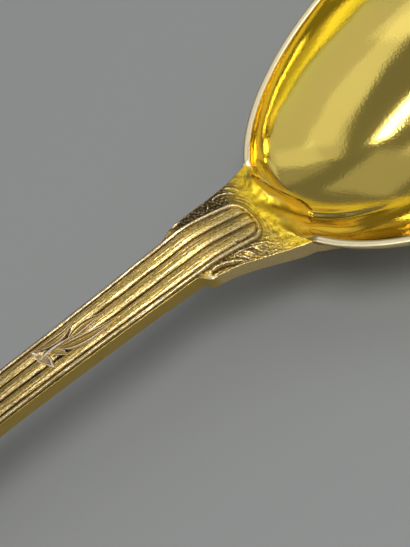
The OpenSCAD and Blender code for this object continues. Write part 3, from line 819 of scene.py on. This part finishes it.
# sprig: cupped leaves laid over the reeds, each a small sphere drawn out along a bent midrib
sprig = {
    "segments": 40, "rings": 56, "calyxSegments": 72, "calyxRings": 40, "seat": 0.02, "height": 0.53,
    # shares of a leaf's width and height, then of the calyx's
    "tipWidth": 0.12, "tipHeight": 0.55, "cupEdge": 0.78, "cupSoft": 0.5, "lip": 0.7, "lipSoft": 0.15,
    "calyxFloor": 0.45, "calyxCup": 0.45, "calyxSoft": 0.35, "calyxLip": 0.62, "calyxLipSoft": 0.16,
    "leafGrime": 0.25, "calyxGrime": 0.2, "calyxWear": 0.25,
    # each midrib's start, bend and end from the calyx, full width, share of the full height, depth of the cup
    "leaves": [
        [(4.8, 0.1), (7.2, 0.75), (10.7, 0.1), 1.45, 1.0, 0.6],
        [(2.9, 0.0), (6.2, -1.9), (12.1, -1.75), 1.45, 0.95, 0.55],
        [(0.0, 1.9), (4.2, 0.5), (6.6, 2.1), 1.05, 0.9, 0.6],
        [(-0.4, 0.1), (1.6, 0.55), (5.6, 0.2), 0.34, 1.0, 0.0],
        [(1.9, 0.1), (2.9, -0.5), (3.8, -1.8), 0.8, 0.7, 0.5],
    ],
    # the calyx: its corners, from the left tip round the front to the right tip and back
    "calyx": [(-0.6, 2.4), (-0.4, 0.9), (-0.35, 0.1), (0.3, -0.9), (1.3, -2.4), (1.45, -1.2), (1.4, -0.2),
              (0.8, 0.5), (0.2, 1.3)],
}


def makeLeaf(crestZ, start, bend, end, width, tallShare, cupDepth):
    piece, turn, rise = addSphere("leaf", sprig["segments"], sprig["rings"])
    start, bend, end = np.array(start), np.array(bend), np.array(end)
    t = 0.5 - 0.5 * np.sin(rise)
    middle = bent(start, bend, end, t)
    way = (1 - t)[:, None] * (bend - start) + t[:, None] * (end - bend)
    way /= np.linalg.norm(way, axis=1, keepdims=True)
    across, over = np.cos(turn), np.sin(turn)
    body = np.sin(np.pi * t ** 0.8)
    half = width / 2 * mix(sprig["tipWidth"], 1, body) * halfRound(2 * t - 1) ** 0.3
    tall = sprig["height"] * tallShare * mix(sprig["tipHeight"], 1, body)
    hollow = smooth((sprig["cupEdge"] - np.abs(across)) / sprig["cupSoft"])
    cup = 1 - cupDepth * hollow * smooth(body * 3)
    edge = np.clip(over * 3, 0, 1) ** 0.5
    z = np.where(over > 0, tall * cup * edge, 0)
    x = calyxX + middle[:, 0] - way[:, 1] * half * across
    y = middle[:, 1] + way[:, 0] * half * across
    setPoints(piece, x, y, crestZ + z)
    lip = smooth((np.abs(across) - sprig["lip"]) / sprig["lipSoft"]) if cupDepth else np.ones(len(t))
    paint(piece, "wearAndSheen", lip * smooth(over * 4 + 0.6))
    paint(piece, "patinaAndShade", (1 - lip) * sprig["leafGrime"] * smooth(over * 4))
    paint(piece, "sand", np.ones(len(t)))
    return piece


def makeCalyx(crestZ):
    piece, turn, rise = addSphere("calyx", sprig["calyxSegments"], sprig["calyxRings"])
    corners = np.array(sprig["calyx"])
    centre = corners.mean(axis=0)
    spoke = corners - centre
    angles = np.arctan2(spoke[:, 1], spoke[:, 0]) % (2 * math.pi)
    order = np.argsort(angles)
    ringPoints = np.concatenate([spoke[order], spoke[order][:1]])
    ringAngles = np.append(angles[order], angles[order][0] + 2 * math.pi)
    theta = np.where(turn < ringAngles[0], turn + 2 * math.pi, turn)
    ex, ey = [np.interp(theta, ringAngles, ringPoints[:, k]) for k in (0, 1)]
    out = np.cos(rise)
    cup = mix(sprig["calyxFloor"], 1, smooth((out - sprig["calyxCup"]) / sprig["calyxSoft"]))
    edge = np.clip((1 - out) * 12, 0, 1) ** 0.5
    z = np.where(rise > 0, sprig["height"] * cup * edge, 0)
    setPoints(piece, calyxX + centre[0] + ex * out, centre[1] + ey * out, crestZ + z)
    lip = smooth((out - sprig["calyxLip"]) / sprig["calyxLipSoft"]) * (rise > 0)
    paint(piece, "wearAndSheen", mix(sprig["calyxWear"], 1, lip))
    paint(piece, "patinaAndShade", (1 - lip) * sprig["calyxGrime"])
    paint(piece, "sand", np.ones(len(turn)))
    return piece


def makeSprig():
    crestZ = topZ(calyxX) + handle["reedHeight"] + sprig["seat"]
    leaves = [makeCalyx(crestZ)] + [makeLeaf(crestZ, *leaf) for leaf in sprig["leaves"]]
    bpy.ops.object.select_all(action="DESELECT")
    for leaf in leaves:
        leaf.select_set(True)
    bpy.context.view_layer.objects.active = leaves[0]
    bpy.ops.object.join()
    piece = bpy.context.object
    piece.name = "leaf_sprig"
    settle(piece, castGilt, "sprig")


makeSprig()

# studio: a plain floor, soft boxes round the spoon and the photograph's view
studio = {
    "floorSize": 3.0, "floorColour": "#8C8E8D", "floorRough": 0.7, "worldLevel": 0.18,
    # each soft box: the way it hangs, in degrees round from +X and down from overhead, how far and how wide
    # and tall it is in metres, its turn on its own axis and its level
    "boxes": {
        "key": {"round": -60, "down": 15, "far": 0.9, "wide": 0.36, "tall": 0.36, "spin": 0, "level": 9.6},
        "far": {"round": 78, "down": 40, "far": 1.0, "wide": 0.5, "tall": 0.6, "spin": 0, "level": 0.8},
        "strip": {"round": 7.5, "down": 37.3, "far": 0.9, "wide": 0.33, "tall": 0.05, "spin": -48,
                  "level": 9},
        "front": {"round": -28, "down": 64, "far": 1.0, "wide": 1.3, "tall": 0.72, "spin": -3, "level": 0.38},
        "upper": {"round": -30, "down": 51, "far": 1.0, "wide": 0.95, "tall": 0.24, "spin": -8, "level": 0.2},
        "side": {"round": -61, "down": 54, "far": 1.0, "wide": 0.26, "tall": 0.3, "spin": 0, "level": 0.25},
        "low": {"round": 5, "down": 70, "far": 1.0, "wide": 0.32, "tall": 0.36, "spin": 0, "level": 0.14},
        "mid": {"round": 48, "down": 37, "far": 1.0, "wide": 0.45, "tall": 0.4, "spin": 0, "level": 0.35},
        "fill": {"round": 32, "down": 58, "far": 1.0, "wide": 0.28, "tall": 0.36, "spin": 0, "level": 0.2},
        "back": {"round": 180, "down": 45, "far": 0.9, "wide": 0.7, "tall": 0.55, "spin": 0, "level": 1.6},
    },
}
view = {
    "place": (21.07, -60.74, 112.12), "elevation": 58.47, "azimuth": 2.93, "roll": -34.99,
    "lens": 52.65, "sensor": 36.0, "nearest": 0.01,
}


def makeStudio():
    bpy.ops.object.select_all(action="DESELECT")
    bpy.ops.mesh.primitive_plane_add(size=studio["floorSize"])
    floor = bpy.context.object
    floor.name = "floor"
    material, tree, shader = newMaterial("paleCard")      # matt grey card: no gloss, an even tone
    shader.inputs["Metallic"].default_value = 0.0
    shader.inputs["Base Color"].default_value = toLinear(studio["floorColour"])
    shader.inputs["Roughness"].default_value = studio["floorRough"]
    floor.data.materials.append(material)
    world = bpy.data.worlds.new("studio")
    world.use_nodes = True
    sky = world.node_tree.nodes["Background"]
    sky.inputs["Color"].default_value = (1, 1, 1, 1)
    sky.inputs["Strength"].default_value = studio["worldLevel"]
    bpy.context.scene.world = world
    for name, box in studio["boxes"].items():
        turn, down = math.radians(box["round"]), math.radians(box["down"])
        way = Vector((math.sin(down) * math.cos(turn), math.sin(down) * math.sin(turn), math.cos(down)))
        data = bpy.data.lights.new(name, "AREA")
        data.shape = "RECTANGLE"
        data.size, data.size_y = box["wide"], box["tall"]
        data.energy = box["level"] * math.pi * box["wide"] * box["tall"]
        lamp = bpy.data.objects.new(name, data)
        lamp.location = way * box["far"]
        spin = Quaternion((0, 0, 1), math.radians(box["spin"]))
        lamp.rotation_euler = (way.to_track_quat("Z", "Y") @ spin).to_euler()
        lamp.visible_camera = False
        bpy.context.scene.collection.objects.link(lamp)
    print("studio lit by", len(studio["boxes"]), "soft boxes")


def makeCamera():
    turn = (Matrix.Rotation(-math.radians(view["azimuth"]), 4, "Z")
            @ Matrix.Rotation(math.radians(90 - view["elevation"]), 4, "X")
            @ Matrix.Rotation(math.radians(view["roll"]), 4, "Z"))
    data = bpy.data.cameras.new("camera")
    data.lens, data.sensor_width = view["lens"], view["sensor"]
    data.clip_start = view["nearest"]
    camera = bpy.data.objects.new("camera", data)
    camera.matrix_world = Matrix.Translation(Vector(view["place"]) * mm) @ turn
    bpy.context.scene.collection.objects.link(camera)
    bpy.context.scene.camera = camera


makeStudio()
makeCamera()
bpy.context.scene.view_settings.view_transform = "Standard"
